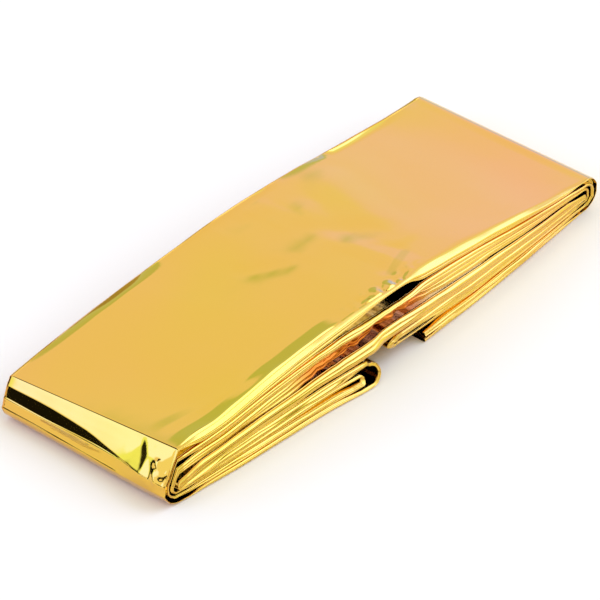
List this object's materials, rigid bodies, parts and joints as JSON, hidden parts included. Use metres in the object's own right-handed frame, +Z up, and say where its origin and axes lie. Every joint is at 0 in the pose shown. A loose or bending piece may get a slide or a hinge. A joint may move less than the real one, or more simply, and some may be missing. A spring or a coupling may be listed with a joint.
{
  "type": "emergency foil blanket",
  "caption": "Packed emergency blanket of thin gold metallised film, its folded strip laid back and forth with both ends turned under.",
  "frame": {"origin": "middle of the packed blanket's outline in plan, on the surface it lies on", "axes": "+X along the strip from the thick turned end to the thin one, -Y out of the long side of closed folds, +Z up out of the smooth upper face"},
  "size_m": [0.2652, 0.1026, 0.0328],
  "materials": {
    "gold_film": "metallised polyester film, gold on both faces, mirror bright with soft creases"
  },
  "bodies": {
    "root": {"foil_blanket": "gold_film"}
  },
  "joints": []
}
